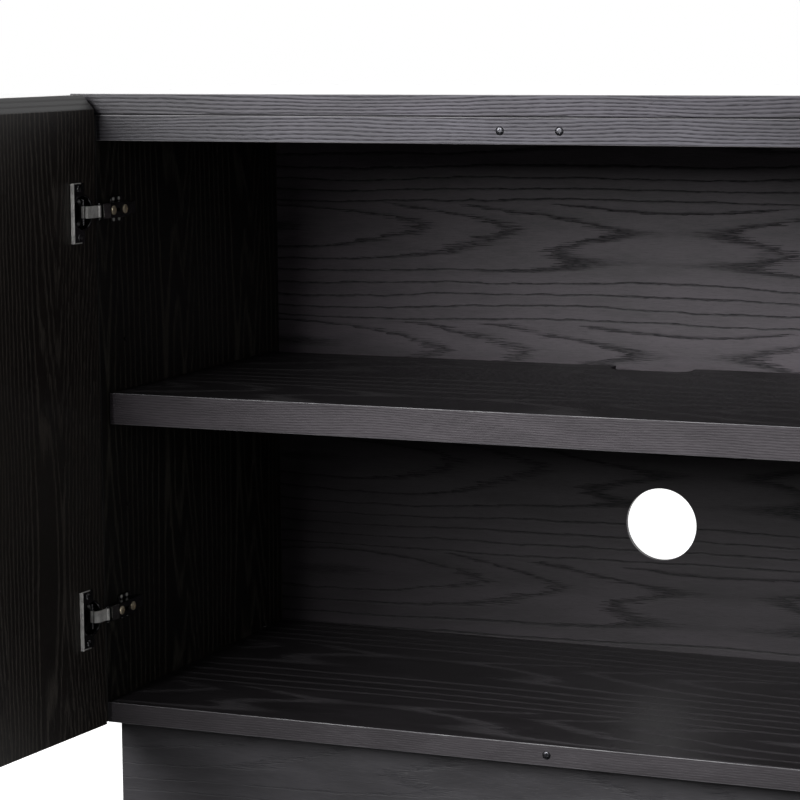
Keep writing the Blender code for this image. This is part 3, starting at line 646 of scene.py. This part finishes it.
def screw_mesh(head_r, head_h):
    """A domed screw head with a cross recess, seat at 0 and head along its own Z."""
    head = solid("head", screw_blank(head_r, head_h))
    tool = solid("tool", cross_cutter(head_r, head_h))
    cut = head.modifiers.new("recess", "BOOLEAN")
    cut.object = tool
    cut.solver = "EXACT"
    done = bmesh.new()
    done.from_object(head, bpy.context.evaluated_depsgraph_get())
    for obj in (head, tool):
        bpy.data.objects.remove(obj)
    return done


def screw(name, spec, where, mat, body, stands_for=()):
    """A screw head placed with its own Z along the axis of the screw."""
    return piece(name, screw_mesh(**spec), where, mat, body, 0, stands_for)


# ==== Hinge parts =================================================================================
def flange_outline():
    """The flange in s and z: round corners, and a bite for the cup in its front edge."""
    near, far = FLANGE_S
    corners = rounded_box(near, -FLANGE_HALF, far, FLANGE_HALF, FLANGE_ROUND)
    half = len(corners) // 2
    reach = math.sqrt(FLANGE_BITE ** 2 - (CUP_S - near) ** 2)
    ends = math.degrees(math.acos((near - CUP_S) / FLANGE_BITE))
    outline = [(near, reach)] + (corners[half:] + corners[:half])[::-1] + [(near, -reach)]
    return outline + arc((CUP_S, 0), FLANGE_BITE, -ends, ends, 32)[1:-1]


def make_cup(side, level):
    """The cup with its rolled rim, the screwed flange and the turned-up lip."""
    tag = "%s_%s" % (side, level)
    place = door_frame(side, level)
    body = side + "_door"
    rim = SEAT + RIM_T
    inner = CUP_R - CUP_WALL
    dish_width, dish_top = CUP_DISH
    profile = [(0, -CUP_DEPTH), (CUP_R - CUP_ROUND, -CUP_DEPTH), (CUP_R, -CUP_DEPTH + CUP_ROUND),
               (CUP_R, SEAT), (RIM_R, SEAT), (RIM_R, rim - RIM_ROUND), (RIM_R - RIM_ROUND, rim),
               (inner + RIM_LEAD, rim), (inner, rim - RIM_LEAD), (inner, -CUP_DEPTH + dish_top),
               (inner - dish_width, -CUP_DEPTH + CUP_FLOOR), (0, -CUP_DEPTH + CUP_FLOOR)]
    piece(tag + "_cup_bowl", lathe(profile, 64), place @ at(CUP_S, 0, 0) @ UP_Y, MAT["dark_nickel"],
          body, 0, [tag + "_hinge_cup"])
    low, high = SEAT, SEAT + FLANGE_T
    drilled = [circle((FLANGE_SCREW_S, sz * FLANGE_SCREW_Z), FLANGE_HOLE_R, 20) for sz in (-1, 1)]
    piece(tag + "_cup_flange", slab(flange_outline(), drilled, low, high), place @ FACE_Y,
          MAT["dark_nickel"], body, BEVEL_FLANGE, [tag + "_hinge_cup"])
    lip = rounded_box(FLANGE_S[1] - LIP_T, low, FLANGE_S[1], SEAT + LIP_H, FOLD_ROUND, 3)
    piece(tag + "_cup_lip", slab(lip, (), -LIP_HALF, LIP_HALF), place, MAT["satin"], body, BEVEL_FOLD,
          [tag + "_hinge_cup"])
    curl = rounded_box(CURL_S, high, FLANGE_S[1] - LIP_T, high + CURL_H, FOLD_ROUND, 3)
    for end, z0 in (("upper", FLANGE_HALF - CURL_T), ("lower", -FLANGE_HALF)):
        piece("%s_cup_curl_%s" % (tag, end), slab(curl, (), z0, z0 + CURL_T), place, MAT["satin"], body,
              BEVEL_FOLD, [tag + "_hinge_cup"])
    for end, sz in (("upper", 1), ("lower", -1)):
        where = place @ at(FLANGE_SCREW_S, high, sz * FLANGE_SCREW_Z) @ UP_Y
        screw("%s_flange_screw_%s_head" % (tag, end), SCREW_FLANGE, where, MAT["zinc"], body,
              ["%s_flange_screw_%s" % (tag, end)])


def rod(radius, half, end_r, straight, segments):
    """A rod about its own Z with chamfered ends: half its length, and half of its straight part."""
    return lathe([(0, -half), (end_r, -half), (radius, -straight), (radius, straight), (end_r, half),
                  (0, half)], segments)


def make_link(side, level):
    """The cranked link, rolled round its two pins."""
    tag = "%s_%s" % (side, level)
    place = side_frame(side, level)
    body = side + "_links"
    route = [ARM_PIN] + [door_point(s, h) for s, h in LINK_BENDS] + [CUP_PIN]
    plate = slab(strip(route, LINK_T), (), -LINK_HALF, LINK_HALF)
    piece(tag + "_link_plate", plate, place, MAT["satin"], body, BEVEL_LINK, [tag + "_hinge_link"])
    cup_half = math.sqrt((CUP_R - CUP_WALL) ** 2 - (CUP_S - CUP_PIN_S + PIN_R) ** 2) - 2 * SEAT
    pins = (("arm_rivet", ARM_PIN, ARM_HALF, RIVET_HEAD), ("cup_pin", CUP_PIN, cup_half, 0.0))
    for pin, point, half, head in pins:
        knuckle = rod(KNUCKLE_R, LINK_HALF, KNUCKLE_R - KNUCKLE_ROUND, LINK_HALF - KNUCKLE_ROUND, 24)
        piece("%s_%s_knuckle" % (tag, pin), knuckle, place @ at(*point, 0), MAT["satin"], body, 0,
              [tag + "_hinge_link"])
        through = rod(PIN_R, half + head, PIN_R * PIN_TIP, half + head / 2, 20)
        piece("%s_%s" % (tag, pin), through, place @ at(*point, 0), MAT["zinc"], body, 0,
              [tag + "_hinge_link"])


def make_arm(side, level):
    """The channel-shaped arm: slotted web, stepped front, two cheeks and their screws."""
    tag = "%s_%s" % (side, level)
    place = side_frame(side, level)
    body = "carcass"
    front_hole, rear_hole = (circle((y, 0), ARM_HOLE_R, 20) for y in ARM_SCREW_Y)
    vent = rounded_box(VENT_Y[0], -VENT_HALF, VENT_Y[1], VENT_HALF, VENT_ROUND, 4)
    web = slab(rounded_box(ARM_FRONT, -ARM_HALF, ARM_REAR, ARM_HALF, ARM_ROUND),
               (front_hole, vent, rear_hole), ARM_TOP - SHEET_T, ARM_TOP)
    piece(tag + "_arm_web", web, place @ FACE_X, MAT["dark_nickel"], body, BEVEL_SHEET,
          [tag + "_hinge_arm"])
    step = strip([Vector(p) for p in ARM_STEP], SHEET_T)
    piece(tag + "_arm_step", slab(step, (), -STEP_HALF, STEP_HALF), place, MAT["nickel"], body,
          BEVEL_SHEET, [tag + "_hinge_arm"])
    cheek = arc(ARM_PIN, NOSE_R, 180, 360, 10) + list(CHEEK_EDGE)
    eye = circle(ARM_PIN, EYE_R, 20)
    for end, z0 in (("upper", ARM_HALF - SHEET_T), ("lower", -ARM_HALF)):
        piece("%s_arm_cheek_%s" % (tag, end), slab(cheek, (eye,), z0, z0 + SHEET_T), place,
              MAT["dark_nickel"], body, BEVEL_SHEET, [tag + "_hinge_arm"])
    for end, y in zip(("front", "rear"), ARM_SCREW_Y):
        where = place @ at(ARM_TOP, y, 0) @ UP_X
        screw("%s_arm_screw_%s_head" % (tag, end), SCREW_ARM, where, MAT["brassed"], body,
              ["%s_arm_screw_%s" % (tag, end)])


def make_plate(side, level):
    """The mounting plate: a hub under the arm and two low ears with small screws."""
    tag = "%s_%s" % (side, level)
    place = side_frame(side, level)
    body = "carcass"
    hub = rounded_box(PLATE_Y[0], -HUB_HALF, PLATE_Y[1], HUB_HALF, HUB_ROUND)
    ears = rounded_box(EAR_Y[0], -EAR_HALF, EAR_Y[1], EAR_HALF, EAR_ROUND)
    for part, outline, top in (("hub", hub, HUB_TOP), ("ears", ears, EAR_TOP)):
        piece("%s_plate_%s" % (tag, part), slab(outline, (), SEAT, top), place @ FACE_X,
              MAT["dark_nickel"], body, BEVEL_CAST, [tag + "_mounting_plate"])
    for end, sz in (("upper", 1), ("lower", -1)):
        for row, y in zip(("front", "rear"), EAR_SCREW_Y):
            where = place @ at(EAR_TOP, y, sz * EAR_SCREW_Z) @ UP_X
            screw("%s_ear_screw_%s_%s" % (tag, end, row), SCREW_EAR, where, MAT["satin"], body)


for side in SIDES:
    for level in LEVELS:
        make_cup(side, level)
        make_link(side, level)
        make_arm(side, level)
        make_plate(side, level)

for spot in ("top_left", "top_right", "bottom"):
    low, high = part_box("strike_screw_" + spot)
    seat = (low + high) / 2
    where = at(seat.x, low.y + SCREW_STRIKE["head_h"], seat.z) @ DOWN_Y
    screw("strike_head_" + spot, SCREW_STRIKE, where, MAT["blued"], "carcass", ["strike_screw_" + spot])


# ==== Studio ======================================================================================
FLOOR_HALF = 30
FLOOR_DROP = 0.0004
FLOOR_GLOW = 0.70
CAMERA_WHITE = 1.0                 # the surround as the camera sees it
# How strong the surround is as a light: the Y or Z of the direction where it starts and stops to change,
# and its value at each.
FRONT_TO_BACK = (-0.3, 0.8, 0.045, 1.35)
LOW_TO_HIGH = (0.15, 0.60, 1.0, 0.45)
KEY = dict(place=(-1.5, -3.1, 1.93), target=(0.0, 0.0, 0.60), width=2.2, height=1.9, power=180)
FILL = dict(place=(2.6, -3.0, 1.2), target=(-0.2, -0.2, 0.35), width=1.2, height=1.6, power=9.5)


def make_floor():
    """A wide pale floor that the cabinet neither reflects nor gets light from."""
    bm = bmesh.new()
    bmesh.ops.create_grid(bm, x_segments=1, y_segments=1, size=FLOOR_HALF)
    mesh = bpy.data.meshes.new("floor")
    bm.to_mesh(mesh)
    bm.free()
    floor = bpy.data.objects.new("floor", mesh)
    floor.location.z = -FLOOR_DROP
    bpy.context.scene.collection.objects.link(floor)
    shader = Shader("pale_floor", Base_Color=(0.90, 0.90, 0.90, 1.0), Roughness=0.9,
                    Emission_Color=(1.0, 1.0, 1.0, 1.0), Emission_Strength=FLOOR_GLOW)
    mesh.materials.append(shader.mat)
    floor.visible_diffuse = False
    floor.visible_glossy = False


def make_world():
    """White behind the cabinet for the camera, a softer surround for the lighting."""
    world = bpy.data.worlds.new("studio")
    world.use_nodes = True
    bpy.context.scene.world = world
    nodes, links = world.node_tree.nodes, world.node_tree.links
    coord = nodes.new("ShaderNodeTexCoord")
    direction = nodes.new("ShaderNodeSeparateXYZ")
    links.new(coord.outputs["Generated"], direction.inputs[0])
    level = nodes.new("ShaderNodeMath")
    level.operation = "MULTIPLY"
    for factor, axis, limits in zip(level.inputs, "YZ", (FRONT_TO_BACK, LOW_TO_HIGH)):
        slope = nodes.new("ShaderNodeMapRange")
        for socket, value in zip(list(slope.inputs)[1:5], limits):
            socket.default_value = value
        links.new(direction.outputs[axis], slope.inputs[0])
        links.new(slope.outputs[0], factor)
    path = nodes.new("ShaderNodeLightPath")
    seen = nodes.new("ShaderNodeMix")
    links.new(path.outputs["Is Camera Ray"], seen.inputs[0])
    links.new(level.outputs[0], seen.inputs[2])
    seen.inputs[3].default_value = CAMERA_WHITE
    back = nodes["Background"]
    back.inputs["Color"].default_value = (1.0, 1.0, 1.0, 1.0)
    links.new(seen.outputs[0], back.inputs["Strength"])


def softbox(name, place, target, width, height, power):
    """A rectangular area light aimed at a point."""
    data = bpy.data.lights.new(name, "AREA")
    data.shape = "RECTANGLE"
    data.size = width
    data.size_y = height
    data.energy = power
    lamp = bpy.data.objects.new(name, data)
    lamp.location = place
    lamp.rotation_euler = (Vector(target) - Vector(place)).to_track_quat("-Z", "Y").to_euler()
    bpy.context.scene.collection.objects.link(lamp)


def make_camera():
    """The camera, aimed by its yaw, pitch and roll."""
    forward = Vector((-math.sin(CAMERA_YAW) * math.cos(CAMERA_PITCH),
                      math.cos(CAMERA_YAW) * math.cos(CAMERA_PITCH), -math.sin(CAMERA_PITCH)))
    level = Vector((math.cos(CAMERA_YAW), math.sin(CAMERA_YAW), 0))
    upright = level.cross(forward)
    right = math.cos(CAMERA_ROLL) * level + math.sin(CAMERA_ROLL) * upright
    up = right.cross(forward)
    data = bpy.data.cameras.new("camera")
    data.lens = LENS_MM
    data.sensor_width = SENSOR_MM
    data.clip_end = CAMERA_REACH
    camera = bpy.data.objects.new("camera", data)
    turn = Matrix((right, up, -forward)).transposed().to_4x4()
    camera.matrix_world = Matrix.Translation(CAMERA_PLACE) @ turn
    bpy.context.scene.collection.objects.link(camera)
    bpy.context.scene.camera = camera


make_floor()
make_world()
softbox("key", **KEY)
softbox("fill", **FILL)
make_camera()
bpy.context.scene.view_settings.view_transform = "Standard"
